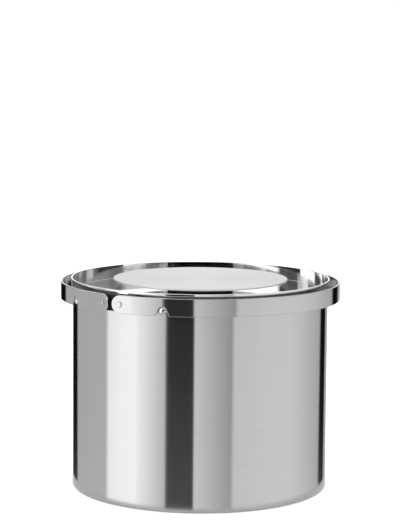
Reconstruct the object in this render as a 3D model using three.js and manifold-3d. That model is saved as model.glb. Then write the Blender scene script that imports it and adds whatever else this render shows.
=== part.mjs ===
// Insulated ice bucket with a lift-off lid and two half-ring bails that fold down around the rim.
// Millimetres, +Z up. The origin is the centre of the base, on the surface that the bucket stands on.
// The hinge blocks are at the front (-Y) and the rear (+Y). One bail folds to the left (-X), the other
// to the right (+X).
import * as THREE from "three";
import { mergeVertices } from "three/addons/utils/BufferGeometryUtils.js";
import Module from "manifold-3d";

const wasm = await Module();
wasm.setup();

// ---- driving dimensions ----
const BODY_R = 97.5; // outside radius of the outer shell
const SHEET = 0.8; // thickness of the pressed steel sheet
const GAP = 0.3; // between pieces that touch without moving
const SHELL_Z = 0.6; // the shell's lower edge stands clear of the table on the foot ring
const LIP_Z = 148.4; // top of the shell's wall, just under the lid
const FLANGE_R = 90.6; // the shell's lower edge turns in to here
const FOOT_IN_R = 84;
const LINER_R = 88; // inside radius of the liner
const LINER_FLOOR_Z = 13;
const LINER_CORNER = 8;
const LEDGE_Z = 146; // top of the ledge that joins the liner to the shell
const JACKET_R = 93.2; // outside radius of the insulation

const RIM_Z = 160; // top of the lid's raised rim
const RIM_OUT_R = 98.9;
const RIM_IN_R = 97.4;
const RIM_ROUND = 0.6;
const RIM_CLEAR = 0.6; // from the lid's rim to the blocks and studs that it lifts past
const RECESS_Z = 149.5; // floor of the lid's recess
const UNDER_PAN_Z = RECESS_Z - SHEET - GAP; // top of the pieces under the lid's pan
const LID_BOTTOM_Z = 142;
const PLUG_R = 87.4; // outside radius of the lid's under plate

const KNOB_R = 66.6;
const KNOB_TOP_Z = 159.4;
const KNOB_SHEET = 1.5;
const POST_R = 25;
const BOSS_R = 6;
const SCREW_R = 2.5;
const WASHER = 1; // thickness of the washer under the screw's head

const BAIL_R = 106.7; // outside radius of the folded bails
const STRIP = 1.5; // thickness of the bails' strip
const STRIP_H = 13; // width of the strip, upright when folded
const PIVOT_X = 8.1; // distance of each pivot from the centre plane
const PIVOT_Z = 151.2;
const TAB_ANGLE = 9; // degrees from the hinge plane where the arc ends and the flat tab begins
const PIN_R = 1.6;
const PIN_GAP = 0.2;
const HEAD_R = 2.4;
const SEAT_R = 2.8; // flat seat for the pin's head
const SEAT_DEPTH = 0.55;

const STUD_ANGLE = 22.6; // degrees from the hinge plane to each rest stud
const STUD_R = 2.75;
const STUD_Z = 148.6;
const STUD_END_R = 106.6;
const NOTCH_R = 3.1;
const NOTCH_HALF_W = 5.4;

const BLOCK_FACE_Y = 103.4; // flat face of each hinge block
const BLOCK_HALF_W = 14.5;
const BLOCK_HALF_H = 6;

const AROUND = 48; // facets around the large turned pieces
const AROUND_SMALL = 16; // facets around pins, studs and screws
const rad = THREE.MathUtils.degToRad;
const SIDES = { left: -1, right: 1 };
const ENDS = { front: -1, rear: 1 };

// ---- materials ----
const steel = (color, roughness) => new THREE.MeshStandardMaterial({ color, roughness, metalness: 1 });
const plain = (color, roughness) => new THREE.MeshStandardMaterial({ color, roughness, metalness: 0 });
const material = {
  brushed: () => steel(0xc4c4c2, 0.26),
  polished: () => steel(0xcfcfcd, 0.1),
  satin: () => steel(0xd2d2d2, 0.4),
  liner: () => steel(0xb8b8b6, 0.32),
  blackened: () => steel(0x202021, 0.5),
  silicone: () => plain(0x2a2b2c, 0.75),
  foam: () => plain(0xe6e1d2, 0.9),
  nylon: () => plain(0x1d1d1e, 0.6),
};

// ---- shaping helpers ----
// Points of a round stretch of a profile, from one angle to another in degrees.
function arc(centreR, centreZ, radius, from, to, steps = 3) {
  const points = [];
  for (let i = 0; i <= steps; i++) {
    const a = rad(from + ((to - from) * i) / steps);
    points.push([centreR + radius * Math.cos(a), centreZ + radius * Math.sin(a)]);
  }
  return points;
}

// A solid turned about Z from an anticlockwise [radius, z] profile. A profile that is off the axis
// closes on itself.
function turned(profile, around = AROUND) {
  const points = profile.map(([r, z]) => new THREE.Vector2(r, z));
  const onAxis = profile[0][0] === 0 && profile.at(-1)[0] === 0;
  if (!onAxis) points.push(points[0].clone());
  return new THREE.LatheGeometry(points, around).rotateX(Math.PI / 2);
}

// The same about an outward radial line that lies at an angle from -Y, at a height.
function turnedOutward(profile, angle, z, around = AROUND_SMALL) {
  return turned(profile, around).rotateX(Math.PI / 2).rotateZ(rad(angle)).translate(0, 0, z);
}

// The same about a line parallel to Y, pointing out of the front or the rear.
function turnedAlongY(profile, end, x, z, around = AROUND_SMALL) {
  return turned(profile, around).rotateX((-end * Math.PI) / 2).translate(x, 0, z);
}

const rod = (radius, from, to) => [[0, from], [radius, from], [radius, to], [0, to]];
const tube = (inner, outer, from, to) => [[inner, from], [outer, from], [outer, to], [inner, to]];

function box(x0, x1, y0, y1, z0, z1) {
  const made = new THREE.BoxGeometry(x1 - x0, y1 - y0, z1 - z0);
  return made.translate((x0 + x1) / 2, (y0 + y1) / 2, (z0 + z1) / 2);
}

function solidOf(geometry) {
  const bare = geometry.clone();
  bare.deleteAttribute("normal");
  bare.deleteAttribute("uv");
  const merged = mergeVertices(bare, 1e-4);
  const corners = merged.index.array;
  const kept = [];
  for (let i = 0; i < corners.length; i += 3) {
    const [a, b, c] = corners.subarray(i, i + 3);
    if (a !== b && b !== c && a !== c) kept.push(a, b, c);
  }
  const vertProperties = merged.attributes.position.array;
  return new wasm.Manifold(new wasm.Mesh({ numProp: 3, vertProperties, triVerts: new Uint32Array(kept) }));
}

function geometryOf(solid) {
  const { vertProperties, triVerts } = solid.getMesh();
  const made = new THREE.BufferGeometry();
  made.setAttribute("position", new THREE.BufferAttribute(new Float32Array(vertProperties), 3));
  made.setIndex(new THREE.BufferAttribute(triVerts, 1));
  made.computeVertexNormals();
  return made;
}

function cut(geometry, tools) {
  return geometryOf(tools.reduce((left, tool) => left.subtract(solidOf(tool)), solidOf(geometry)));
}

function piece(name, geometry, kind) {
  const mesh = new THREE.Mesh(geometry, material[kind]());
  mesh.name = name;
  return mesh;
}

// Calls make(end, side, endSign, sideSign) for the four corners where a bail meets the vessel.
function atEachCorner(make) {
  return Object.entries(ENDS).flatMap(([end, endSign]) =>
    Object.entries(SIDES).map(([side, sideSign]) => make(end, side, endSign, sideSign)));
}

// Degrees anticlockwise from -Y for a stud at a corner.
function studAngle(endSign, sideSign) {
  return endSign < 0 ? sideSign * STUD_ANGLE : 180 - sideSign * STUD_ANGLE;
}

// ---- vessel ----
function outerShell() {
  const inner = BODY_R - SHEET;
  const lip = SHEET / 2;
  return turned([
    [FLANGE_R, SHELL_Z],
    ...arc(BODY_R - 1.2, SHELL_Z + 1.2, 1.2, -90, 0),
    ...arc(BODY_R - lip, LIP_Z - lip, lip, 0, 180, 4),
    [inner, SHELL_Z + SHEET],
    [FLANGE_R, SHELL_Z + SHEET],
  ]);
}

function basePlate() {
  const edge = BODY_R - SHEET - GAP;
  const z = SHELL_Z + SHEET + GAP;
  const rise = 1; // the middle is pressed up, clear of the table
  const riseR = 79;
  return turned([
    [0, z + rise],
    [riseR - 1, z + rise],
    [riseR, z],
    ...arc(edge - 1.2, z + 1.2, 1.2, -90, 0, 2),
    [edge, z + 6],
    [edge - SHEET, z + 6],
    [edge - SHEET, z + SHEET],
    [riseR, z + SHEET],
    [riseR - 1, z + rise + SHEET],
    [0, z + rise + SHEET],
  ]);
}

function footRing() {
  const top = SHELL_Z + SHEET;
  const out = FLANGE_R - GAP;
  const chamfer = 0.4;
  return turned([
    [FOOT_IN_R + chamfer, 0],
    [out - chamfer, 0],
    [out, chamfer],
    [out, top],
    [FOOT_IN_R, top],
    [FOOT_IN_R, chamfer],
  ]);
}

function innerLiner() {
  const bend = 3; // between the wall and the ledge
  const edge = BODY_R - SHEET - GAP;
  const hem = LEDGE_Z - 3; // the ledge's edge turns down against the shell
  return turned([
    [0, LINER_FLOOR_Z - SHEET],
    ...arc(LINER_R - LINER_CORNER, LINER_FLOOR_Z + LINER_CORNER, LINER_CORNER + SHEET, -90, 0, 4),
    ...arc(LINER_R + bend, LEDGE_Z - bend, bend - SHEET, 180, 90, 2),
    [edge - SHEET, LEDGE_Z - SHEET],
    [edge - SHEET, hem],
    [edge, hem],
    [edge, LEDGE_Z],
    ...arc(LINER_R + bend, LEDGE_Z - bend, bend, 90, 180, 3),
    ...arc(LINER_R - LINER_CORNER, LINER_FLOOR_Z + LINER_CORNER, LINER_CORNER, 0, -90, 4),
    [0, LINER_FLOOR_Z],
  ]);
}

function insulationJacket() {
  const inner = LINER_R + SHEET + GAP;
  const corner = LINER_CORNER + SHEET + GAP;
  const floor = LINER_FLOOR_Z - SHEET - GAP;
  const bottom = SHELL_Z + 2 * SHEET + 1 + 2 * GAP;
  const top = LEDGE_Z - 3 - SHEET;
  return turned([
    [0, bottom],
    [JACKET_R, bottom],
    [JACKET_R, top],
    [inner, top],
    ...arc(inner - corner, floor + corner, corner, 0, -90, 4),
    [0, floor],
  ]);
}

// ---- lid ----
function lidPan() {
  const edge = 0.3;
  const profile = turned([
    [0, RECESS_Z - SHEET],
    [RIM_OUT_R - edge, RECESS_Z - SHEET],
    [RIM_OUT_R, RECESS_Z - SHEET + edge],
    ...arc(RIM_OUT_R - RIM_ROUND, RIM_Z - RIM_ROUND, RIM_ROUND, 0, 90, 2),
    ...arc(RIM_IN_R + RIM_ROUND, RIM_Z - RIM_ROUND, RIM_ROUND, 90, 180, 2),
    [RIM_IN_R, RECESS_Z + edge],
    [RIM_IN_R - edge, RECESS_Z],
    [0, RECESS_Z],
  ]);
  return cut(profile, [turned(rod(SCREW_R + GAP, RECESS_Z - 3, RECESS_Z + 3), AROUND_SMALL)]);
}

function lidUnderplate() {
  const corner = 2.5;
  return turned([
    [0, LID_BOTTOM_Z],
    ...arc(PLUG_R - corner, LID_BOTTOM_Z + corner, corner, -90, 0, 2),
    [PLUG_R, UNDER_PAN_Z],
    [PLUG_R - SHEET, UNDER_PAN_Z],
    ...arc(PLUG_R - corner, LID_BOTTOM_Z + corner, corner - SHEET, 0, -90, 2),
    [0, LID_BOTTOM_Z + SHEET],
  ]);
}

function lidInsulation() {
  const screwSpace = 9;
  return turned(tube(screwSpace, PLUG_R - 2.5, LID_BOTTOM_Z + SHEET + GAP, UNDER_PAN_Z));
}

// A ribbed ring that beds on the vessel's ledge.
function lidSeal() {
  const low = LEDGE_Z + GAP;
  return turned([
    [91, low],
    [94.6, low],
    [95, low + 0.6],
    [95, UNDER_PAN_Z],
    [88.4, UNDER_PAN_Z],
    [88.4, UNDER_PAN_Z - 0.8],
    [90.6, UNDER_PAN_Z - 0.8],
  ]);
}

// The grip: a flat disc with a threaded boss under its middle.
function knobDisc() {
  const under = KNOB_TOP_Z - KNOB_SHEET;
  const bossZ = under - 5;
  const edge = 0.3;
  const disc = turned([
    [0, bossZ],
    [BOSS_R, bossZ],
    [BOSS_R, under],
    [KNOB_R - edge, under],
    [KNOB_R, under + edge],
    [KNOB_R, KNOB_TOP_Z - edge],
    [KNOB_R - edge, KNOB_TOP_Z],
    [0, KNOB_TOP_Z],
  ]);
  return cut(disc, [turned(rod(SCREW_R + GAP, bossZ - 1, bossZ + 4), AROUND_SMALL)]);
}

function knobPost() {
  const around = 36;
  const under = KNOB_TOP_Z - KNOB_SHEET - GAP;
  return turned(tube(BOSS_R + GAP, POST_R, RECESS_Z + GAP, under), around);
}

function knobWasher() {
  const around = 24;
  return turned(tube(SCREW_R + GAP, 7.5, UNDER_PAN_Z - WASHER, UNDER_PAN_Z), around);
}

function knobScrew() {
  const headTop = UNDER_PAN_Z - WASHER - GAP;
  return turned([
    [0, headTop - 2.6],
    [4.2, headTop - 2.6],
    [4.8, headTop - 2],
    [4.8, headTop],
    [SCREW_R, headTop],
    [SCREW_R, KNOB_TOP_Z - KNOB_SHEET - 1.5],
    [0, KNOB_TOP_Z - KNOB_SHEET - 1.5],
  ], AROUND_SMALL);
}

// ---- bails ----
// Plan outline of a strip that folds to +X: an arc between two straight tabs that run on along its tangents.
function stripOutline() {
  const outline = new THREE.Shape();
  const tabLength = BAIL_R * Math.sin(rad(TAB_ANGLE)) / Math.cos(rad(TAB_ANGLE));
  const tip = (radius, end) => {
    const a = rad(TAB_ANGLE);
    const x = radius * Math.sin(a) - tabLength * Math.cos(a);
    return [x, end * (radius * Math.cos(a) + tabLength * Math.sin(a))];
  };
  const turn = rad(90 - TAB_ANGLE);
  outline.moveTo(...tip(BAIL_R, ENDS.front));
  outline.absarc(0, 0, BAIL_R, -turn, turn, false);
  outline.lineTo(...tip(BAIL_R, ENDS.rear));
  outline.lineTo(...tip(BAIL_R - STRIP, ENDS.rear));
  outline.absarc(0, 0, BAIL_R - STRIP, turn, -turn, true);
  outline.lineTo(...tip(BAIL_R - STRIP, ENDS.front));
  outline.closePath();
  return outline;
}

// The arch-shaped notch that sits over a rest stud, as a solid that runs out through the strip.
function notchTool(endSign) {
  const low = PIVOT_Z - STRIP_H / 2 - 1;
  const legs = rad(28); // where the straight legs leave the round apex
  const apex = new THREE.Shape();
  apex.moveTo(-NOTCH_HALF_W, low - STUD_Z);
  apex.lineTo(NOTCH_HALF_W, low - STUD_Z);
  apex.absarc(0, 0, NOTCH_R, legs, Math.PI - legs, false);
  apex.closePath();
  const shape = new THREE.ExtrudeGeometry(apex, { depth: 20, bevelEnabled: false, curveSegments: 6 });
  const angle = studAngle(endSign, SIDES.right);
  return shape.rotateX(Math.PI / 2).rotateZ(rad(angle)).translate(...outward(angle, BAIL_R - 10), STUD_Z);
}

// A point in plan at a distance from the bucket's axis, at an angle anticlockwise from -Y.
function outward(angle, distance) {
  return [distance * Math.sin(rad(angle)), -distance * Math.cos(rad(angle))];
}

// Distance of the tab's outer face from the bucket's centre, measured along the pivot line.
function tabFaceY() {
  const a = rad(TAB_ANGLE);
  return BAIL_R * Math.cos(a) + (BAIL_R * Math.sin(a) - PIVOT_X) * Math.tan(a);
}

// Everything past the pivot, except a half round of the strip's own width.
function tipTool(endSign) {
  const half = STRIP_H / 2;
  const y = endSign * BAIL_R;
  const block = box(-PIVOT_X, PIVOT_X, y - 8, y + 8, PIVOT_Z - half - 1, PIVOT_Z + half + 1);
  const round = turnedAlongY(rod(half, BAIL_R - 12, BAIL_R + 12), endSign, PIVOT_X, PIVOT_Z, 32);
  return cut(block, [round]);
}

function rightBail() {
  const depth = STRIP_H;
  const shape = { depth, bevelEnabled: false, curveSegments: 36 };
  const strip = new THREE.ExtrudeGeometry(stripOutline(), shape);
  strip.translate(0, 0, PIVOT_Z - depth / 2);
  const tools = Object.values(ENDS).flatMap((endSign) => {
    const seat = tabFaceY() - SEAT_DEPTH;
    return [
      tipTool(endSign),
      notchTool(endSign),
      turnedAlongY(rod(PIN_R + PIN_GAP, BAIL_R - 8, BAIL_R + 8), endSign, PIVOT_X, PIVOT_Z, 20),
      turnedAlongY(rod(SEAT_R, seat, seat + 4), endSign, PIVOT_X, PIVOT_Z, 20),
    ];
  });
  return cut(strip, tools);
}

function leftBail() {
  return rightBail().rotateZ(Math.PI);
}

// ---- hinges and studs ----
// The space that the shell takes up and, over it, the space that the lid's rim lifts through.
function vesselSpace() {
  const shell = BODY_R + GAP;
  const rim = RIM_OUT_R + RIM_CLEAR;
  const seam = LIP_Z - 0.2;
  const low = PIVOT_Z - 20;
  const high = PIVOT_Z + 20;
  return turned([[0, low], [shell, low], [shell, seam], [rim, seam], [rim, high], [0, high]]);
}

// Welded to the top of the shell's wall.
function hingeBlock(endSign) {
  const half = BLOCK_HALF_H;
  const y0 = endSign * (BODY_R - 3);
  const y1 = endSign * BLOCK_FACE_Y;
  const blank = box(
    -BLOCK_HALF_W, BLOCK_HALF_W, Math.min(y0, y1), Math.max(y0, y1), PIVOT_Z - half, PIVOT_Z + half);
  const pinHoles = Object.values(SIDES).map((sideSign) =>
    turnedAlongY(rod(PIN_R + GAP, BODY_R - 5, BLOCK_FACE_Y + 1), endSign, sideSign * PIVOT_X, PIVOT_Z, 16));
  return cut(blank, [vesselSpace(), ...pinHoles]);
}

function pivotPin(endSign, sideSign) {
  const seat = tabFaceY() - SEAT_DEPTH + PIN_GAP;
  return turnedAlongY([
    [0, RIM_OUT_R + 1],
    [PIN_R, RIM_OUT_R + 1],
    [PIN_R, seat],
    [HEAD_R, seat],
    [HEAD_R, seat + 0.45],
    [HEAD_R - 0.7, seat + 0.95],
    [0, seat + 1.1],
  ], endSign, sideSign * PIVOT_X, PIVOT_Z, 20);
}

function pivotWasher(endSign, sideSign) {
  const from = BLOCK_FACE_Y + 0.2;
  return turnedAlongY(tube(PIN_R + GAP, 3, from, from + 0.8), endSign, sideSign * PIVOT_X, PIVOT_Z, 20);
}

// A domed stud. The lower half of its foot is welded to the top of the shell's wall.
function restStud(endSign, sideSign) {
  const foot = BODY_R - 1;
  const dome = 1.3;
  const blank = turnedOutward([
    [0, foot],
    [STUD_R, foot],
    [STUD_R, STUD_END_R - dome],
    [STUD_R * 0.85, STUD_END_R - dome * 0.5],
    [STUD_R * 0.5, STUD_END_R - dome * 0.12],
    [0, STUD_END_R],
  ], studAngle(endSign, sideSign), STUD_Z, 20);
  return cut(blank, [vesselSpace()]);
}

// ---- assembly ----
const vessel = [
  piece("outer_shell", outerShell(), "brushed"),
  piece("base_plate", basePlate(), "liner"),
  piece("foot_ring", footRing(), "silicone"),
  piece("inner_liner", innerLiner(), "liner"),
  piece("insulation_jacket", insulationJacket(), "foam"),
  ...Object.entries(ENDS).map(([end, endSign]) =>
    piece(`hinge_block_${end}`, hingeBlock(endSign), "blackened")),
  ...atEachCorner((end, side, endSign, sideSign) =>
    piece(`pivot_pin_${end}_${side}`, pivotPin(endSign, sideSign), "satin")),
  ...atEachCorner((end, side, endSign, sideSign) =>
    piece(`pivot_washer_${end}_${side}`, pivotWasher(endSign, sideSign), "nylon")),
  ...atEachCorner((end, side, endSign, sideSign) =>
    piece(`rest_stud_${end}_${side}`, restStud(endSign, sideSign), "polished")),
];

const lid = [
  piece("lid_pan", lidPan(), "polished"),
  piece("lid_underplate", lidUnderplate(), "liner"),
  piece("lid_insulation", lidInsulation(), "foam"),
  piece("lid_seal", lidSeal(), "silicone"),
  piece("knob_disc", knobDisc(), "satin"),
  piece("knob_post", knobPost(), "nylon"),
  piece("knob_washer", knobWasher(), "satin"),
  piece("knob_screw", knobScrew(), "satin"),
];

const bails = [
  piece("bail_left", leftBail(), "brushed"),
  piece("bail_right", rightBail(), "brushed"),
];

const iceBucket = new THREE.Group();
iceBucket.add(...vessel, ...lid, ...bails);

export default iceBucket;
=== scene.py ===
import math

import bmesh
import bpy
from mathutils import Matrix, Vector


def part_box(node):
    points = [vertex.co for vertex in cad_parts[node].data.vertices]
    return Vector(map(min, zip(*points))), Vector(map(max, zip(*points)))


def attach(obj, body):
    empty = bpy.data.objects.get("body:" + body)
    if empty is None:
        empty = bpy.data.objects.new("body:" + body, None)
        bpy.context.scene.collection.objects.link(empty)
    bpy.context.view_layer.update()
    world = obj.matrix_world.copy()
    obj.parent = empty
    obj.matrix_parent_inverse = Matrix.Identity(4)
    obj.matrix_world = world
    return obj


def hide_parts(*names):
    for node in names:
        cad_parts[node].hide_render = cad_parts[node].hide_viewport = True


# Steel ice bucket in a pale studio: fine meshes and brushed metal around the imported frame.
# Metres, +Z up, the row frame. The hinge blocks are at -Y and +Y, the bails fold to -X and +X.

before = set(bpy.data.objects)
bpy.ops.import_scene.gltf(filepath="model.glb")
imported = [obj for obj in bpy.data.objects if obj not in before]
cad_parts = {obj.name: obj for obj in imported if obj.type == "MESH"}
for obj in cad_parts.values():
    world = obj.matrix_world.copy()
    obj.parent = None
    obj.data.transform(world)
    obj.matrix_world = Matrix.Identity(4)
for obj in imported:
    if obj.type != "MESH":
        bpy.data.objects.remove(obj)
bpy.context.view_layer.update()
MM = 0.001


# ---------------------------------------------------------------- sizes, from the frame where it shows them
def high(node):
    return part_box(node)[1]


def low(node):
    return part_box(node)[0]


BODY_R = high("outer_shell").x
SHELL_Z = low("outer_shell").z
LIP_Z = high("outer_shell").z
SHEET = 0.8 * MM  # thickness of the pressed steel
GAP = 0.3 * MM  # between pieces that touch without moving
WELD_GAP = 0.02 * MM  # between the shell and what is welded to it
FLANGE_R = high("foot_ring").x + GAP
LINER_R = 88 * MM
LINER_FLOOR_Z = low("inner_liner").z + SHEET
LEDGE_Z = high("inner_liner").z
RIM_Z = high("lid_pan").z
RIM_OUT_R = high("lid_pan").x
RIM_IN_R = RIM_OUT_R - 1.5 * MM
RELIEF_R = RIM_OUT_R + 0.6 * MM  # the blocks and studs are cut back to here, above the shell's lip
RELIEF_Z = LIP_Z - GAP
LID_FLOOR_Z = low("lid_pan").z + SHEET
LID_BOTTOM_Z = low("lid_underplate").z
PLUG_R = high("lid_underplate").x
KNOB_R = high("knob_disc").x
KNOB_TOP_Z = high("knob_disc").z
KNOB_SHEET = 1.5 * MM
KNOB_BORE_R = 2.8 * MM  # hole for the screw
POST_R = high("knob_post").x
BAIL_R = high("bail_right").x
STRIP = 1.5 * MM  # thickness of the bails' strip
STRIP_H = high("bail_right").z - low("bail_right").z
PIVOT_X = (high("pivot_pin_front_right").x + low("pivot_pin_front_right").x) / 2
PIVOT_Z = (high("bail_right").z + low("bail_right").z) / 2
TAB_ANGLE = math.radians(9)  # from the hinge plane to where the arc ends and the flat tab begins
STUD_ANGLE = math.radians(22.6)  # from the hinge plane to each rest stud
STUD_Z = (high("rest_stud_front_right").z + low("rest_stud_front_right").z) / 2
STUD_R = (high("rest_stud_front_right").z - low("rest_stud_front_right").z) / 2
STUD_END_R = 106.6 * MM
BLOCK_FACE_Y = high("hinge_block_rear").y
BLOCK_HALF_W = high("hinge_block_rear").x
BLOCK_HALF_H = (high("hinge_block_rear").z - low("hinge_block_rear").z) / 2
PIN_R = 1.6 * MM
PIN_HEAD_R = 2.4 * MM
SIDES = {"left": -1, "right": 1}
ENDS = {"front": -1, "rear": 1}
CAMERA_AZIMUTH = math.radians(37.3)  # from -Y towards +X


# ---------------------------------------------------------------- mesh helpers
def arc(r, z, radius, start, end, steps=8):
    """Points of a round stretch of a profile, between two angles in degrees."""
    angles = [math.radians(start + (end - start) * i / steps) for i in range(steps + 1)]
    return [(r + radius * math.cos(a), z + radius * math.sin(a)) for a in angles]


def add_object(name, mesh):
    obj = bpy.data.objects.new(name, mesh)
    bpy.context.scene.collection.objects.link(obj)
    return obj


def evaluated_mesh(obj):
    """A new mesh of an object as its modifiers or its curve settings make it."""
    bpy.context.view_layer.update()
    return bpy.data.meshes.new_from_object(obj.evaluated_get(bpy.context.evaluated_depsgraph_get()))


def smooth(obj, sharp_degrees=32):
    """Smooth shading with sharp hard edges and flat faces, as large faces outweigh small ones."""
    obj.data.polygons.foreach_set("use_smooth", [True] * len(obj.data.polygons))
    obj.data.set_sharp_from_angle(angle=math.radians(sharp_degrees))
    weighted = obj.modifiers.new("weighted_normals", "WEIGHTED_NORMAL")
    weighted.mode = "FACE_AREA"
    weighted.weight = 100
    weighted.keep_sharp = True
    return obj


def lathe(name, profile, segments=192, sharp_degrees=32):
    """A solid turned about Z from an anticlockwise (radius, z) profile, which closes if off the axis."""
    mesh = bmesh.new()
    turns = [2 * math.pi * i / segments for i in range(segments)]
    rings = []
    for r, z in profile:
        if r == 0:
            rings.append([mesh.verts.new((0, 0, z))])
        else:
            rings.append([mesh.verts.new((r * math.sin(a), -r * math.cos(a), z)) for a in turns])
    on_axis = profile[0][0] == 0 and profile[-1][0] == 0
    pairs = list(zip(rings, rings[1:])) + ([] if on_axis else [(rings[-1], rings[0])])
    for below, above in pairs:
        for i in range(segments):
            j = (i + 1) % segments
            places = ((below, i), (below, j), (above, j), (above, i))
            corners = [loop[k % len(loop)] for loop, k in places]
            mesh.faces.new(list(dict.fromkeys(corners)))
    data = bpy.data.meshes.new(name)
    mesh.to_mesh(data)
    mesh.free()
    return smooth(add_object(name, data), sharp_degrees)


def turn_outward(obj, angle, z):
    """Turns a solid made about Z so that its axis points outward in plan, at an angle from -Y."""
    turn = Matrix.Rotation(angle, 4, "Z") @ Matrix.Rotation(math.pi / 2, 4, "X")
    obj.data.transform(Matrix.Translation((0, 0, z)) @ turn)
    return obj


def turn_along_y(obj, end, x, z):
    """The same for an axis parallel to Y, out of the front or the rear."""
    obj.data.transform(Matrix.Translation((x, 0, z)) @ Matrix.Rotation(-end * math.pi / 2, 4, "X"))
    return obj


def stud_angle(end, side):
    """Angle in plan from -Y to the stud at a corner."""
    return side * STUD_ANGLE if end < 0 else math.pi - side * STUD_ANGLE


def each_corner():
    """The four places where a bail meets the vessel, as (end name, side name, end, side)."""
    return [(e, s, ENDS[e], SIDES[s]) for e in ENDS for s in SIDES]


# ---------------------------------------------------------------- vessel
def outer_shell():
    inner = BODY_R - SHEET
    lip = SHEET / 2
    corner = 1.2 * MM
    return lathe("shell_visual", [
        (FLANGE_R, SHELL_Z),
        *arc(BODY_R - corner, SHELL_Z + corner, corner, -90, 0),
        (BODY_R, SHELL_Z + 40 * MM),
        (BODY_R, SHELL_Z + 80 * MM),
        (BODY_R, SHELL_Z + 120 * MM),
        *arc(BODY_R - lip, LIP_Z - lip, lip, 0, 180, 10),
        *arc(inner - 0.4 * MM, SHELL_Z + SHEET + 0.4 * MM, 0.4 * MM, 0, -90, 5),
        (FLANGE_R, SHELL_Z + SHEET),
    ], 256)


def base_plate():
    edge = BODY_R - SHEET - GAP
    z = SHELL_Z + SHEET + GAP
    rise = 1 * MM
    rise_r = 79 * MM
    return lathe("base_plate_visual", [
        (0, z + rise),
        *arc(rise_r - 1.6 * MM, z + 0.2 * MM, 0.8 * MM, 90, 40, 4),
        *arc(rise_r + 0.6 * MM, z + 0.9 * MM, 0.9 * MM, -130, -90, 4),
        *arc(edge - 1.2 * MM, z + 1.2 * MM, 1.2 * MM, -90, 0),
        (edge, z + 6 * MM),
        (edge - SHEET, z + 6 * MM),
        *arc(edge - 1.2 * MM, z + 1.2 * MM, 0.4 * MM, 0, -90, 4),
        *arc(rise_r + 0.6 * MM, z + 0.9 * MM, 0.1 * MM, -90, -130, 2),
        *arc(rise_r - 1.6 * MM, z + 0.2 * MM, 1.6 * MM, 40, 90, 4),
        (0, z + rise + SHEET),
    ])


def foot_ring():
    inner = FLANGE_R - 6.6 * MM
    outer = FLANGE_R - GAP
    top = SHELL_Z + SHEET
    round_r = 0.4 * MM
    return lathe("foot_ring_visual", [
        *arc(inner + round_r, round_r, round_r, 180, 270, 5),
        *arc(outer - round_r, round_r, round_r, -90, 0, 5),
        (outer, top),
        (inner, top),
    ])


def inner_liner():
    corner, bend = 8 * MM, 3 * MM
    edge = BODY_R - SHEET - GAP
    return lathe("liner_visual", [
        (0, LINER_FLOOR_Z - SHEET),
        *arc(LINER_R - corner, LINER_FLOOR_Z + corner, corner + SHEET, -90, 0, 12),
        *arc(LINER_R + bend, LEDGE_Z - bend, bend - SHEET, 180, 90, 6),
        *arc(edge - 1.2 * MM, LEDGE_Z - 1.2 * MM, 0.4 * MM, 90, 0, 4),
        (edge - SHEET, LEDGE_Z - 3 * MM),
        (edge, LEDGE_Z - 3 * MM),
        *arc(edge - 1.2 * MM, LEDGE_Z - 1.2 * MM, 1.2 * MM, 0, 90, 6),
        *arc(LINER_R + bend, LEDGE_Z - bend, bend, 90, 180, 10),
        *arc(LINER_R - corner, LINER_FLOOR_Z + corner, corner, 0, -90, 12),
        (0, LINER_FLOOR_Z),
    ], 224)


def insulation_jacket():
    inner = LINER_R + SHEET + GAP
    outer = high("insulation_jacket").x
    corner = 9.1 * MM
    floor = LINER_FLOOR_Z - SHEET - GAP
    bottom = low("insulation_jacket").z
    return lathe("insulation_jacket_visual", [
        (0, bottom),
        *arc(outer - 1 * MM, bottom + 1 * MM, 1 * MM, -90, 0, 5),
        *arc(outer - 0.5 * MM, high("insulation_jacket").z - 0.5 * MM, 0.5 * MM, 0, 90, 3),
        (inner, high("insulation_jacket").z),
        *arc(inner - corner, floor + corner, corner, 0, -90, 10),
        (0, floor),
    ], 128)


# ---------------------------------------------------------------- lid
def lid_pan():
    edge, corner, roll = 0.3 * MM, 0.12 * MM, 0.4 * MM
    middle_z = (LID_FLOOR_Z + RIM_Z) / 2
    return lathe("lid_pan_visual", [
        (0, LID_FLOOR_Z - SHEET),
        *arc(RIM_OUT_R - edge, LID_FLOOR_Z - SHEET + edge, edge, -90, 0, 5),
        (RIM_OUT_R, middle_z),
        *arc(RIM_OUT_R - roll, RIM_Z - roll, roll, 0, 90, 12),
        *arc(RIM_IN_R + roll, RIM_Z - roll, roll, 90, 180, 12),
        (RIM_IN_R, middle_z),
        *arc(RIM_IN_R - corner, LID_FLOOR_Z + corner, corner, 0, -90, 4),
        (KNOB_R, LID_FLOOR_Z),
        (0, LID_FLOOR_Z),
    ], 256)


def lid_underplate():
    top = high("lid_underplate").z
    corner = 2.5 * MM
    return lathe("lid_underplate_visual", [
        (0, LID_BOTTOM_Z),
        *arc(PLUG_R - corner, LID_BOTTOM_Z + corner, corner, -90, 0),
        (PLUG_R, top),
        (PLUG_R - SHEET, top),
        *arc(PLUG_R - corner, LID_BOTTOM_Z + corner, corner - SHEET, 0, -90, 6),
        (0, LID_BOTTOM_Z + SHEET),
    ])


def ring(name, inner, outer, bottom, top, edge, segments):
    """A flat ring or a thick-walled tube with rounded edges."""
    return lathe(name, [
        *arc(inner + edge, bottom + edge, edge, 180, 270, 3),
        *arc(outer - edge, bottom + edge, edge, -90, 0, 3),
        *arc(outer - edge, top - edge, edge, 0, 90, 3),
        *arc(inner + edge, top - edge, edge, 90, 180, 3),
    ], segments)


def lid_insulation():
    lo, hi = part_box("lid_insulation")
    return ring("lid_insulation_visual", 9 * MM, hi.x, lo.z, hi.z, 0.6 * MM, 128)


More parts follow.
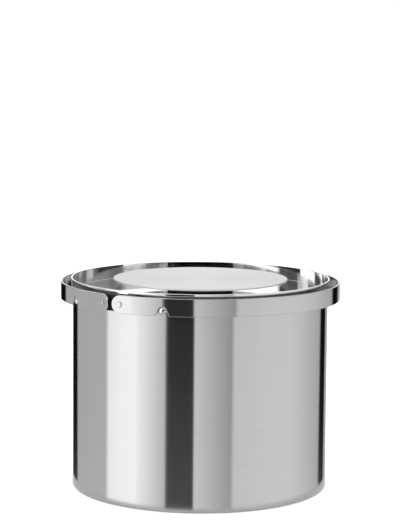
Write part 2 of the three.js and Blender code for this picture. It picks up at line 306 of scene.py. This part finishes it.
def lid_seal():
    """A rib that beds on the vessel's ledge, under a flange that is glued to the lid."""
    lo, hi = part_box("lid_seal")
    r = 0.35 * MM
    rib_in = 91 * MM
    flange_in = hi.x - 6.6 * MM
    flange_z = hi.z - 0.8 * MM
    return lathe("lid_seal_visual", [
        *arc(rib_in + r, lo.z + r, r, 200, 270, 4),
        *arc(hi.x - 2 * r, lo.z + r, r, -90, 0, 4),
        *arc(hi.x - r, hi.z - r, r, 0, 90, 4),
        *arc(flange_in + r, hi.z - r, r, 90, 180, 4),
        (flange_in, flange_z),
        (hi.x - 4.4 * MM, flange_z),
    ])


def knob_disc():
    under = KNOB_TOP_Z - KNOB_SHEET
    boss_z = low("knob_disc").z
    bore_z = boss_z + 4 * MM
    boss_r = 6 * MM
    edge, fillet = 0.6 * MM, 0.5 * MM
    return lathe("knob_disc_visual", [
        (0, bore_z),
        (KNOB_BORE_R, bore_z),
        (KNOB_BORE_R, boss_z),
        *arc(boss_r - edge, boss_z + edge, edge, -90, 0, 4),
        *arc(boss_r + fillet, under - fillet, fillet, 180, 90, 4),
        *arc(KNOB_R - edge, under + edge, edge, -90, 0, 6),
        *arc(KNOB_R - edge, KNOB_TOP_Z - edge, edge, 0, 90, 6),
        (KNOB_R * 0.5, KNOB_TOP_Z),
        (0, KNOB_TOP_Z),
    ], 224)


def knob_post():
    lo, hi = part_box("knob_post")
    bore, edge = 6.3 * MM, 0.5 * MM
    return lathe("knob_post_visual", [
        (bore, lo.z),
        *arc(POST_R - edge, lo.z + edge, edge, -90, 0, 4),
        *arc(POST_R - edge, hi.z - edge, edge, 0, 90, 4),
        (bore, hi.z),
    ], 96)


def knob_washer():
    lo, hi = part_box("knob_washer")
    return ring("knob_washer_visual", KNOB_BORE_R, hi.x, lo.z, hi.z, 0.15 * MM, 64)


def knob_screw():
    """A pan-head screw with a round socket in its head and grooves along its shank."""
    lo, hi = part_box("knob_screw")
    head_top = lo.z + 2.6 * MM
    head_round = 0.7 * MM
    socket_r, socket_z = 1.5 * MM, lo.z + 1.4 * MM
    shank, groove, pitch = 2.5 * MM, 0.3 * MM, 0.8 * MM
    grooves = []
    z = head_top + 1.5 * MM
    while z < hi.z - 1.2 * MM:
        grooves += [(shank, z), (shank - groove, z + 0.25 * MM), (shank, z + 0.5 * MM)]
        z += pitch
    return lathe("knob_screw_visual", [
        (0, socket_z),
        (socket_r, socket_z),
        (socket_r, lo.z),
        *arc(hi.x - head_round, lo.z + head_round, head_round, -90, 0, 6),
        (hi.x, head_top),
        (shank, head_top),
        *grooves,
        (shank, hi.z - 0.5 * MM),
        (shank - 0.5 * MM, hi.z),
        (0, hi.z),
    ], 48)


# ---------------------------------------------------------------- bails
MID_R = BAIL_R - STRIP / 2
ARC_HALF = MID_R * (math.pi / 2 - TAB_ANGLE)  # along the strip from its middle to the start of a tab
PIVOT_S = ARC_HALF + (MID_R * math.sin(TAB_ANGLE) - PIVOT_X) / math.cos(TAB_ANGLE)


def strip_frame(s):
    """A point of the right bail's middle surface, a length s from its middle, and two directions there."""
    turn = max(-ARC_HALF, min(ARC_HALF, s)) / MID_R
    out = Vector((math.cos(turn), math.sin(turn), 0))
    along = Vector((-math.sin(turn), math.cos(turn), 0))
    return MID_R * out + (s - MID_R * turn) * along, out, along


def strip_outline():
    """The flat strip's outline in (length, height): half-round ends and a notch over each rest stud."""
    half = STRIP_H / 2
    notch_s = MID_R * (math.pi / 2 - STUD_ANGLE)
    notch_r, half_w = 3.1 * MM, 5.2 * MM
    foot_w, foot_h = 0.5 * MM, 0.175 * MM  # the corner where a leg of the notch meets the strip's edge
    leg = 28  # degrees, where the legs leave the round apex

    def notch(middle):
        left = [(middle - half_w - foot_w, -half), (middle - half_w, -half + foot_h)]
        apex = arc(middle, STUD_Z - PIVOT_Z, notch_r, 180 - leg, leg, 18)
        right = [(middle + half_w, -half + foot_h), (middle + half_w + foot_w, -half)]
        return left + apex + right

    ends = [math.pi * i / 36 for i in range(37)]
    right_end = [(PIVOT_S + half * math.sin(a), -half * math.cos(a)) for a in ends]
    left_end = [(-PIVOT_S - half * math.sin(a), half * math.cos(a)) for a in ends]
    return [*notch(-notch_s), *notch(notch_s), *right_end, *left_end]


def flat_strip():
    """The strip before it is bent, with rounded edges: x along it, y up and z through its thickness."""
    edge = 0.38 * MM
    curve = bpy.data.curves.new("strip_outline", "CURVE")
    curve.dimensions = "2D"
    curve.fill_mode = "BOTH"
    hole_r = PIN_R + 0.2 * MM
    sides = 32
    last = 360 - 360 / sides
    holes = [arc(side * PIVOT_S, 0, hole_r, 0, last, sides - 1) for side in (-1, 1)]
    loops = [strip_outline(), *holes]
    for points in loops:
        spline = curve.splines.new("POLY")
        spline.points.add(len(points) - 1)
        for point, (x, y) in zip(spline.points, points):
            point.co = (x, y, 0, 1)
        spline.use_cyclic_u = True
    curve.extrude = STRIP / 2 - edge
    curve.bevel_depth = edge
    curve.bevel_resolution = 3
    curve.offset = -edge
    maker = add_object("strip_maker", curve)
    mesh = evaluated_mesh(maker)
    bpy.data.objects.remove(maker)
    bpy.data.curves.remove(curve)
    return mesh


def bail(name, turn):
    """The strip, cut across every 1.5 degrees and bent into its half ring, with exact normals."""
    work = bmesh.new()
    work.from_mesh(flat_strip())
    bmesh.ops.remove_doubles(work, verts=work.verts, dist=1e-7)
    step = MID_R * math.radians(1.5)
    cuts = round(ARC_HALF / step)
    for i in range(-cuts, cuts + 1):
        whole = work.verts[:] + work.edges[:] + work.faces[:]
        middle = (i * ARC_HALF / cuts, 0, 0)
        bmesh.ops.bisect_plane(work, geom=whole, plane_co=middle, plane_no=(1, 0, 0))
    bmesh.ops.recalc_face_normals(work, faces=work.faces)
    work.normal_update()
    broad = {v.index: 0.0 for v in work.verts}
    side = {v.index: Vector() for v in work.verts}
    for face in work.faces:
        for v in face.verts:
            if abs(face.normal.z) > 0.999:
                broad[v.index] = math.copysign(1.0, face.normal.z)
            else:
                side[v.index] += face.normal * face.calc_area()
    frames = {v.index: strip_frame(v.co.x) for v in work.verts}
    normals = []
    for face in work.faces:
        for v in face.verts:
            flat = Vector((0, 0, broad[v.index])) if broad[v.index] else side[v.index].normalized()
            _, out, along = frames[v.index]
            normals.append(turn @ (along * flat.x + Vector((0, 0, 1)) * flat.y + out * flat.z))
    for v in work.verts:
        point, out, _ = frames[v.index]
        v.co = turn @ (point + out * v.co.z + Vector((0, 0, PIVOT_Z + v.co.y)))
    data = bpy.data.meshes.new(name)
    work.to_mesh(data)
    work.free()
    data.polygons.foreach_set("use_smooth", [True] * len(data.polygons))
    data.normals_split_custom_set([tuple(n) for n in normals])
    return add_object(name, data)


# ---------------------------------------------------------------- hinges and studs
def hinge_block(end_name, end):
    """A block between the shell and the tabs, with rounded edges, cut back beside the lid's rim."""
    half_w, half_h = BLOCK_HALF_W, BLOCK_HALF_H
    inner = BODY_R + WELD_GAP
    work = bmesh.new()
    columns = 16
    grid = []
    for i in range(columns + 1):
        x = -half_w + 2 * half_w * i / columns
        near = math.sqrt(inner ** 2 - x ** 2)
        step = math.sqrt(RELIEF_R ** 2 - x ** 2)
        section = [
            (near, -half_h),
            (BLOCK_FACE_Y, -half_h),
            (BLOCK_FACE_Y, half_h),
            (step, half_h),
            (step, RELIEF_Z - PIVOT_Z),
            (near, RELIEF_Z - PIVOT_Z),
        ]
        grid.append([work.verts.new((x, end * y, PIVOT_Z + z)) for y, z in section])
    for a, b in zip(grid, grid[1:]):
        for j in range(len(a)):
            k = (j + 1) % len(a)
            work.faces.new([a[j], a[k], b[k], b[j]])
    work.faces.new(grid[0])
    work.faces.new(list(reversed(grid[-1])))
    bmesh.ops.recalc_face_normals(work, faces=work.faces)
    data = bpy.data.meshes.new(f"hinge_block_{end_name}_visual")
    work.to_mesh(data)
    work.free()
    obj = add_object(data.name, data)
    bevel = obj.modifiers.new("edges", "BEVEL")
    bevel.width = 0.6 * MM
    bevel.segments = 4
    bevel.limit_method = "ANGLE"
    bevel.angle_limit = math.radians(40)
    return smooth(obj)


def pivot_pin(end_name, side_name, end, side):
    """A pin with a flat head, whose top lies parallel to the tab that it holds."""
    lo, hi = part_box(f"pivot_pin_{end_name}_{side_name}")
    inside, outside = sorted((abs(lo.y), abs(hi.y)))
    seat = outside - 1.1 * MM
    top = outside - 0.05 * MM
    chamfer, foot, edge = 0.2 * MM, 0.12 * MM, 0.45 * MM
    pin = lathe(f"pivot_pin_{end_name}_{side_name}_visual", [
        (0, inside),
        (PIN_R - chamfer, inside),
        (PIN_R, inside + chamfer),
        (PIN_R, seat),
        *arc(PIN_HEAD_R - foot, seat + foot, foot, -90, 0, 3),
        *arc(PIN_HEAD_R - edge, top - edge, edge, 0, 90, 8),
        (0, top),
    ], 64, 50)
    turn_along_y(pin, end, side * PIVOT_X, PIVOT_Z)
    slope = side * math.tan(TAB_ANGLE)
    for vertex in pin.data.vertices:
        on_top = abs(vertex.co.y) > seat + 0.3 * MM
        if on_top:
            vertex.co.y -= end * slope * (vertex.co.x - side * PIVOT_X)
    return pin


def pivot_washer(end_name, side_name, end, side):
    node = f"pivot_washer_{end_name}_{side_name}"
    lo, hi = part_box(node)
    inside, outside = sorted((abs(lo.y), abs(hi.y)))
    washer = ring(f"{node}_visual", PIN_R + GAP, 3 * MM, inside, outside, 0.15 * MM, 48)
    return turn_along_y(washer, end, side * PIVOT_X, PIVOT_Z)


def cut_away(obj, cutter):
    """Takes the space of one solid out of another."""
    obj.modifiers.clear()
    boolean = obj.modifiers.new("cut", "BOOLEAN")
    boolean.object = cutter
    mesh = evaluated_mesh(obj)
    mesh.name = obj.name
    obj.modifiers.clear()
    obj.data = mesh
    bpy.data.objects.remove(cutter)
    return smooth(obj, 50)


def rest_stud(end_name, side_name, end, side):
    """A domed stud. Its foot is cut back above the shell's lip, where the lid's rim lifts past it."""
    dome = 1.4 * MM
    foot = BODY_R + WELD_GAP
    turns = [math.radians(a) for a in range(0, 90, 6)]
    stud = lathe(f"rest_stud_{end_name}_{side_name}_visual", [
        (0, foot),
        (STUD_R, foot),
        *[(STUD_R * math.cos(a), STUD_END_R - dome + dome * math.sin(a)) for a in turns],
        (0, STUD_END_R),
    ], 64, 50)
    turn_outward(stud, stud_angle(end, side), STUD_Z)
    space = [(0, RELIEF_Z), (RELIEF_R, RELIEF_Z), (RELIEF_R, RIM_Z), (0, RIM_Z)]
    return cut_away(stud, lathe("lift_space", space, 256))


# ---------------------------------------------------------------- materials
def new_material(name):
    material = bpy.data.materials.new(name)
    material.use_nodes = True
    tree = material.node_tree
    return material, tree.nodes, tree.links, tree.nodes["Principled BSDF"]


def set_even(material, socket, value):
    """Sets a value of a material's shader, the same all over."""
    material.node_tree.nodes["Principled BSDF"].inputs[socket].default_value = value


def math_node(nodes, links, operation, *inputs):
    """A Math node with each input linked, or set where it is a number."""
    node = nodes.new("ShaderNodeMath")
    node.operation = operation
    for socket, value in zip(node.inputs, inputs):
        if isinstance(value, (int, float)):
            socket.default_value = value
        else:
            links.new(value, socket)
    return node.outputs[0]


def object_place(nodes, links):
    """Outputs for a point's x, y and z in the frame and its distance from the bucket's axis."""
    coords = nodes.new("ShaderNodeTexCoord")
    split = nodes.new("ShaderNodeSeparateXYZ")
    links.new(coords.outputs["Object"], split.inputs[0])
    flat = nodes.new("ShaderNodeCombineXYZ")
    links.new(split.outputs["X"], flat.inputs["X"])
    links.new(split.outputs["Y"], flat.inputs["Y"])
    radius = nodes.new("ShaderNodeVectorMath")
    radius.operation = "LENGTH"
    links.new(flat.outputs[0], radius.inputs[0])
    return split.outputs["X"], split.outputs["Y"], split.outputs["Z"], radius.outputs["Value"]


def stretched_noise(nodes, links, across, along, detail):
    """Noise drawn out round the axis: lines of a given pitch that run along each turned surface."""
    x, y, z, radius = object_place(nodes, links)
    profile = math_node(nodes, links, "ADD", z, radius)
    drawn = nodes.new("ShaderNodeCombineXYZ")
    for axis, value, scale in (("X", x, along), ("Y", y, along), ("Z", profile, across)):
        links.new(math_node(nodes, links, "MULTIPLY", value, scale), drawn.inputs[axis])
    noise = nodes.new("ShaderNodeTexNoise")
    noise.inputs["Scale"].default_value = 1.0
    noise.inputs["Detail"].default_value = detail
    noise.inputs["Roughness"].default_value = 0.6
    links.new(drawn.outputs[0], noise.inputs["Vector"])
    return noise.outputs["Fac"]


def plain_noise(nodes, links, scale, detail):
    coords = nodes.new("ShaderNodeTexCoord")
    noise = nodes.new("ShaderNodeTexNoise")
    noise.inputs["Scale"].default_value = scale
    noise.inputs["Detail"].default_value = detail
    links.new(coords.outputs["Object"], noise.inputs["Vector"])
    return noise.outputs["Fac"]


def spread(nodes, links, value, low_out, high_out, low_in=0.3, high_in=0.7):
    """Maps a value to a range. Noise lies mostly between 0.3 and 0.7."""
    mapped = nodes.new("ShaderNodeMapRange")
    mapped.inputs["From Min"].default_value = low_in
    mapped.inputs["From Max"].default_value = high_in
    mapped.inputs["To Min"].default_value = low_out
    mapped.inputs["To Max"].default_value = high_out
    links.new(value, mapped.inputs["Value"])
    return mapped.outputs["Result"]


def tinted(nodes, links, value, dark, light):
    """A colour between two."""
    mix = nodes.new("ShaderNodeMix")
    mix.data_type = "RGBA"
    mix.inputs["A"].default_value = (*dark, 1)
    mix.inputs["B"].default_value = (*light, 1)
    links.new(value, mix.inputs["Factor"])
    return mix.outputs["Result"]


def bump(nodes, links, height, shader, distance, strength=1.0):
    """Lets a height roughen a shader's surface."""
    node = nodes.new("ShaderNodeBump")
    node.inputs["Distance"].default_value = distance
    node.inputs["Strength"].default_value = strength
    links.new(height, node.inputs["Height"])
    links.new(node.outputs["Normal"], shader.inputs["Normal"])


def brushed_steel(name, roughness, anisotropy, line, contrast, dark, light, depth):
    """Steel brushed round the axis: fine lines, longer streaks, and patches of uneven pressure."""
    material, nodes, links, shader = new_material(name)
    lines = stretched_noise(nodes, links, across=1 / line, along=5.0, detail=3.0)
    streaks = stretched_noise(nodes, links, across=0.12 / line, along=3.0, detail=2.0)
    patches = plain_noise(nodes, links, scale=14, detail=2.0)
    both = math_node(nodes, links, "ADD", lines, streaks)
    tone = spread(nodes, links, both, 0.0, 1.0, low_in=0.7, high_in=1.3)
    links.new(tinted(nodes, links, tone, dark, light), shader.inputs["Base Color"])
    fine = spread(nodes, links, lines, -contrast, contrast)
    broad = spread(nodes, links, patches, roughness - contrast / 2, roughness + contrast / 2)
    links.new(math_node(nodes, links, "ADD", fine, broad), shader.inputs["Roughness"])
    shader.inputs["Metallic"].default_value = 1.0
    shader.inputs["Anisotropic"].default_value = anisotropy
    shader.inputs["Anisotropic Rotation"].default_value = 0.25
    tangent = nodes.new("ShaderNodeTangent")
    tangent.direction_type = "RADIAL"
    tangent.axis = "Z"
    links.new(tangent.outputs["Tangent"], shader.inputs["Tangent"])
    bump(nodes, links, lines, shader, depth, strength=0.5)
    return material


def grained(name, dark, light, roughness, scale, depth):
    """Moulded, cast or foamed stuff: two close tones, uneven gloss and a fine bump."""
    material, nodes, links, shader = new_material(name)
    grain = plain_noise(nodes, links, scale, detail=6.0)
    cloud = plain_noise(nodes, links, scale / 25, detail=3.0)
    share = spread(nodes, links, cloud, 0.0, 1.0)
    links.new(tinted(nodes, links, share, dark, light), shader.inputs["Base Color"])
    links.new(spread(nodes, links, grain, roughness - 0.08, roughness + 0.08), shader.inputs["Roughness"])
    bump(nodes, links, grain, shader, depth)
    return material


BRUSHED = brushed_steel(
    "brushed_steel", roughness=0.125, anisotropy=1.0, line=0.12 * MM, contrast=0.012,
    dark=(0.63, 0.63, 0.628), light=(0.655, 0.655, 0.652), depth=0.0006 * MM)
POLISHED = brushed_steel(
    "polished_steel", roughness=0.03, anisotropy=0.3, line=0.1 * MM, contrast=0.006,
    dark=(0.79, 0.79, 0.788), light=(0.81, 0.81, 0.807), depth=0.0001 * MM)
SATIN = brushed_steel(
    "satin_steel", roughness=0.42, anisotropy=0.2, line=0.15 * MM, contrast=0.03,
    dark=(0.7, 0.7, 0.7), light=(0.74, 0.74, 0.74), depth=0.001 * MM)
TURNED = brushed_steel(
    "turned_steel", roughness=0.14, anisotropy=0.4, line=0.1 * MM, contrast=0.02,
    dark=(0.62, 0.62, 0.618), light=(0.67, 0.67, 0.667), depth=0.0006 * MM)
LINER = brushed_steel(
    "liner_steel", roughness=0.28, anisotropy=0.7, line=0.2 * MM, contrast=0.05,
    dark=(0.56, 0.56, 0.555), light=(0.64, 0.64, 0.635), depth=0.003 * MM)
# Hinge blocks: the near-black colour and weak gloss are painted shade. They stand for the deep shade in the
# slot between the tabs.
SLOT_SHADE_STEEL = grained(
    "blackened_steel", (0.006, 0.006, 0.007), (0.014, 0.014, 0.015),
    roughness=0.45, scale=2500, depth=0.01 * MM)
set_even(SLOT_SHADE_STEEL, "Specular IOR Level", 0.25)
SILICONE = grained(
    "silicone", (0.022, 0.023, 0.024), (0.035, 0.036, 0.038),
    roughness=0.7, scale=1800, depth=0.02 * MM)
NYLON = grained(
    "nylon", (0.012, 0.012, 0.013), (0.02, 0.02, 0.022),
    roughness=0.55, scale=3000, depth=0.015 * MM)
FOAM = grained(
    "foam", (0.62, 0.56, 0.42), (0.74, 0.69, 0.55),
    roughness=0.9, scale=900, depth=0.25 * MM)


def two_finishes(material, measure, limit, below, above):
    """Scales a steel's roughness by one factor below a height or radius, and by another above it."""
    nodes, links = material.node_tree.nodes, material.node_tree.links
    socket = nodes["Principled BSDF"].inputs["Roughness"]
    roughness = socket.links[0].from_socket
    _, _, height, radius = object_place(nodes, links)
    value = radius if measure == "radius" else height
    blend = 0.1 * MM
    factor = spread(nodes, links, value, below, above, limit - blend, limit + blend)
    links.new(math_node(nodes, links, "MULTIPLY", roughness, factor), socket)


LID_STEEL = brushed_steel(
    "lid_steel", roughness=0.11, anisotropy=1.0, line=0.1 * MM, contrast=0.012,
    dark=(0.9, 0.9, 0.898), light=(0.94, 0.94, 0.937), depth=0.0001 * MM)
two_finishes(LID_STEEL, "height", LID_FLOOR_Z + 0.2 * MM, below=1.0, above=0.3)
two_finishes(LID_STEEL, "radius", KNOB_R, below=0.25, above=1.0)
DISC_STEEL = brushed_steel(
    "disc_steel", roughness=0.42, anisotropy=0.2, line=0.15 * MM, contrast=0.03,
    dark=(0.86, 0.86, 0.86), light=(0.9, 0.9, 0.9), depth=0.001 * MM)
set_even(DISC_STEEL, "Specular Tint", (0.5, 0.5, 0.5, 1))
DISC_UNDERSIDE = brushed_steel(
    "disc_underside", roughness=0.05, anisotropy=0.2, line=0.15 * MM, contrast=0.01,
    dark=(0.9, 0.9, 0.9), light=(0.94, 0.94, 0.94), depth=0.001 * MM)


# ---------------------------------------------------------------- assembly
def place(obj, node, body, material):
    """Hands a piece to the frame: it rides on a body, stands for a CAD node and takes its material."""
    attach(obj, body)
    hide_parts(node)
    obj.data.materials.clear()
    obj.data.materials.append(material)
    return obj


def finish_below(obj, height, material):
    """Gives the faces below a height a second material."""
    obj.data.materials.append(material)
    for face in obj.data.polygons:
        face.material_index = int(face.center.z < height)


place(outer_shell(), "outer_shell", "vessel", BRUSHED)
place(base_plate(), "base_plate", "vessel", LINER)
place(foot_ring(), "foot_ring", "vessel", SILICONE)
place(inner_liner(), "inner_liner", "vessel", LINER)
place(insulation_jacket(), "insulation_jacket", "vessel", FOAM)
for end_name, end in ENDS.items():
    # The hinge blocks take the near-black steel whose colour is painted shade for the slot between the
    # tabs.
    place(hinge_block(end_name, end), f"hinge_block_{end_name}", "vessel", SLOT_SHADE_STEEL)
for corner in each_corner():
    name = "_".join(corner[:2])
    place(pivot_pin(*corner), f"pivot_pin_{name}", "vessel", TURNED)
    place(pivot_washer(*corner), f"pivot_washer_{name}", "vessel", NYLON)
    place(rest_stud(*corner), f"rest_stud_{name}", "vessel", POLISHED)

place(lid_pan(), "lid_pan", "lid", LID_STEEL)
place(lid_underplate(), "lid_underplate", "lid", LINER)
place(lid_insulation(), "lid_insulation", "lid", FOAM)
place(lid_seal(), "lid_seal", "lid", SILICONE)
grip = place(knob_disc(), "knob_disc", "lid", DISC_STEEL)
finish_below(grip, KNOB_TOP_Z - KNOB_SHEET / 2, DISC_UNDERSIDE)
place(knob_post(), "knob_post", "lid", NYLON)
place(knob_washer(), "knob_washer", "lid", SATIN)
place(knob_screw(), "knob_screw", "lid", SATIN)

for name, turn in (("bail_right", Matrix.Identity(3)), ("bail_left", Matrix.Rotation(math.pi, 3, "Z"))):
    place(bail(f"{name}_visual", turn), name, name, BRUSHED)


# ---------------------------------------------------------------- studio
def round_sheet(name, radius, z):
    """A flat disc that lies level at a height."""
    work = bmesh.new()
    bmesh.ops.create_circle(work, cap_ends=True, radius=radius, segments=96)
    bmesh.ops.translate(work, verts=work.verts, vec=(0, 0, z))
    data = bpy.data.meshes.new(name)
    work.to_mesh(data)
    work.free()
    return add_object(name, data)


def pale(name, light=0.0):
    """Plain white matt paper, with some light of its own."""
    material = new_material(name)[0]
    set_even(material, "Base Color", (0.93, 0.93, 0.93, 1))
    set_even(material, "Roughness", 0.9)
    set_even(material, "Specular IOR Level", 0.1)
    set_even(material, "Emission Color", (1, 1, 1, 1))
    set_even(material, "Emission Strength", light)
    return material


def floor():
    """A wide pale floor that reflections leave out, and a white card round the foot that only they show."""
    wide = round_sheet("floor", radius=12, z=0)
    wide.data.materials.append(pale("pale_floor"))
    wide.visible_glossy = False
    card = round_sheet("white_card", radius=0.11, z=-0.1 * MM)
    card.data.materials.append(pale("white_card", light=0.1))
    card.visible_camera = False
    card.visible_diffuse = False
    card.visible_shadow = False


# Two rows of panels stand round the object, one below its rim and one above. Each panel has its start and
# end in degrees round the horizon, and the screen grey that steel shows at its two ends. 0 is the camera's
# own side, and positive angles are to its right.
LOWER_PANELS = [
    (-180, -165, 150, 172),  # wall behind, left
    (-163, -145, 4, 4),  # black flag
    (-143, -92, 158, 168),  # grey wall
    (-89, -58, 236, 242),  # softbox, left
    (-57, -30.4, 232, 170),
    (-29.4, -4.6, 12, 2),  # black flag beside the camera
    (-4.2, 29, 196, 142),
    (30, 88, 192, 197),  # large softbox, right
    (102, 136, 188, 156),
    (139, 153, 4, 4),  # black flag
    (156, 163, 145, 145),
    (165, 180, 172, 150),  # wall behind, right
]
UPPER_PANELS = [
    (-180, -173, 222, 222),  # backdrop
    (-168, -140, 140, 110),
    (-137, -119.5, 80, 80),
    (-118, -110.5, 190, 190),  # softbox
    (-109.5, -103.5, 155, 155),
    (-102, -80, 56, 56),
    (-75, -30, 250, 240),  # softbox, left
    (-28, 34, 30, 40),
    (38, 50, 70, 100),
    (56, 73, 168, 155),  # softbox, right
    (80, 90, 86, 86),
    (98, 134, 110, 115),
    (150, 168, 86, 100),  # wall behind, right
    (173, 180, 222, 222),  # backdrop
]
STEEL_REFLECTS = 0.64
CEILING_LIGHT = 2.1  # as it lights the matt surfaces
CEILING_IN_STEEL = 1.05
ZENITH_IN_STEEL = 0.55
FLOOR_IN_STEEL = 0.5
HAZE = 1.2  # light from the floor on the lowest part of the panels
HAZE_SHARE = 0.13
BACKDROP = 1.05  # as the camera sees it

# Heights in degrees over which one part of the surround gives way to the next
LOWER_TO_UPPER = (-1.5, 1.5)
UPPER_TO_CEILING = (16, 36)
CEILING_TO_ZENITH = (25, 65)
LOWER_TO_HAZE = (-12.5, -16)
LOWER_TO_FLOOR = (-25, -50)


def linear(grey):
    """A screen grey value, 0 to 255, as scene light."""
    value = grey / 255
    return value / 12.92 if value <= 0.04045 else ((value + 0.055) / 1.055) ** 2.4


def blend_light(nodes, links, share, a, b):
    """Light between two, each a linked output or an even light."""
    mix = nodes.new("ShaderNodeMix")
    mix.data_type = "RGBA"
    links.new(share, mix.inputs["Factor"])
    for socket, value in (("A", a), ("B", b)):
        if isinstance(value, (int, float)):
            mix.inputs[socket].default_value = (value, value, value, 1)
        else:
            links.new(value, mix.inputs[socket])
    return mix.outputs["Result"]


def height_share(nodes, links, height, heights):
    """0 to 1 as a direction's height goes from the first to the second of a pair of angles in degrees."""
    start, end = heights
    share = nodes.new("ShaderNodeMapRange")
    share.interpolation_type = "SMOOTHSTEP"
    share.inputs["From Min"].default_value = math.sin(math.radians(start))
    share.inputs["From Max"].default_value = math.sin(math.radians(end))
    links.new(height, share.inputs["Value"])
    return share.outputs[0]


def horizon(nodes, links, share, panels):
    """The light of a row of panels, at a share of a full turn that starts behind the object."""
    ramp = nodes.new("ShaderNodeValToRGB")
    links.new(share, ramp.inputs["Fac"])
    ends = [pair for start, end, first, last in panels for pair in ((start, first), (end, last))]
    stops = ramp.color_ramp.elements
    while len(stops) < len(ends):
        stops.new(0.5)
    for stop, (degrees, grey) in zip(stops, ends):
        stop.position = (degrees + 180) / 360
        light = linear(grey) / STEEL_REFLECTS
        stop.color = (light, light, light, 1)
    return ramp.outputs["Color"]


def surround():
    """The panels, ceiling and floor that the steel reflects, as a world, with a plain backdrop."""
    world = bpy.data.worlds.new("studio")
    bpy.context.scene.world = world
    world.use_nodes = True
    nodes, links = world.node_tree.nodes, world.node_tree.links
    nodes.clear()
    coords = nodes.new("ShaderNodeTexCoord")
    turn = nodes.new("ShaderNodeVectorRotate")
    turn.rotation_type = "Z_AXIS"
    turn.inputs["Angle"].default_value = -CAMERA_AZIMUTH
    links.new(coords.outputs["Generated"], turn.inputs["Vector"])
    split = nodes.new("ShaderNodeSeparateXYZ")
    links.new(turn.outputs[0], split.inputs[0])
    toward = math_node(nodes, links, "MULTIPLY", split.outputs["Y"], -1)
    angle = math_node(nodes, links, "ARCTAN2", split.outputs["X"], toward)
    share = math_node(nodes, links, "MULTIPLY_ADD", angle, 0.5 / math.pi, 0.5)
    rays = nodes.new("ShaderNodeLightPath")

    def rising(heights):
        return height_share(nodes, links, split.outputs["Z"], heights)

    def blend(part, a, b):
        return blend_light(nodes, links, part, a, b)

    haze = math_node(nodes, links, "MULTIPLY", rising(LOWER_TO_HAZE), HAZE_SHARE)
    lower = blend(haze, horizon(nodes, links, share, LOWER_PANELS), HAZE)
    lower = blend(rising(LOWER_TO_FLOOR), lower, FLOOR_IN_STEEL)
    room = blend(rising(LOWER_TO_UPPER), lower, horizon(nodes, links, share, UPPER_PANELS))
    in_steel = blend(rising(CEILING_TO_ZENITH), CEILING_IN_STEEL, ZENITH_IN_STEEL)
    overhead = blend(rays.outputs["Is Glossy Ray"], CEILING_LIGHT, in_steel)
    room = blend(rising(UPPER_TO_CEILING), room, overhead)
    seen = blend(rays.outputs["Is Camera Ray"], room, BACKDROP)
    background = nodes.new("ShaderNodeBackground")
    links.new(seen, background.inputs["Color"])
    output = nodes.new("ShaderNodeOutputWorld")
    links.new(background.outputs[0], output.inputs["Surface"])


def camera():
    """A long lens a little above the rim, so that the front hinge is left of the middle."""
    data = bpy.data.cameras.new("camera")
    data.lens = 126.05
    data.sensor_width = 36
    obj = add_object("camera", data)
    distance, height = 1.3892, 0.3395
    pitch, roll, yaw = math.radians(6.88), math.radians(0.468), math.radians(0.018)
    obj.location = (distance * math.sin(CAMERA_AZIMUTH), -distance * math.cos(CAMERA_AZIMUTH), height)
    aim = Matrix.Rotation(CAMERA_AZIMUTH + yaw, 4, "Z") @ Matrix.Rotation(math.pi / 2 - pitch, 4, "X")
    obj.rotation_euler = (aim @ Matrix.Rotation(roll, 4, "Z")).to_euler()
    bpy.context.scene.camera = obj


floor()
surround()
camera()
scene = bpy.context.scene
scene.view_settings.view_transform = "Standard"
scene.view_settings.look = "None"
scene.cycles.glossy_bounces = 12
scene.cycles.max_bounces = 16
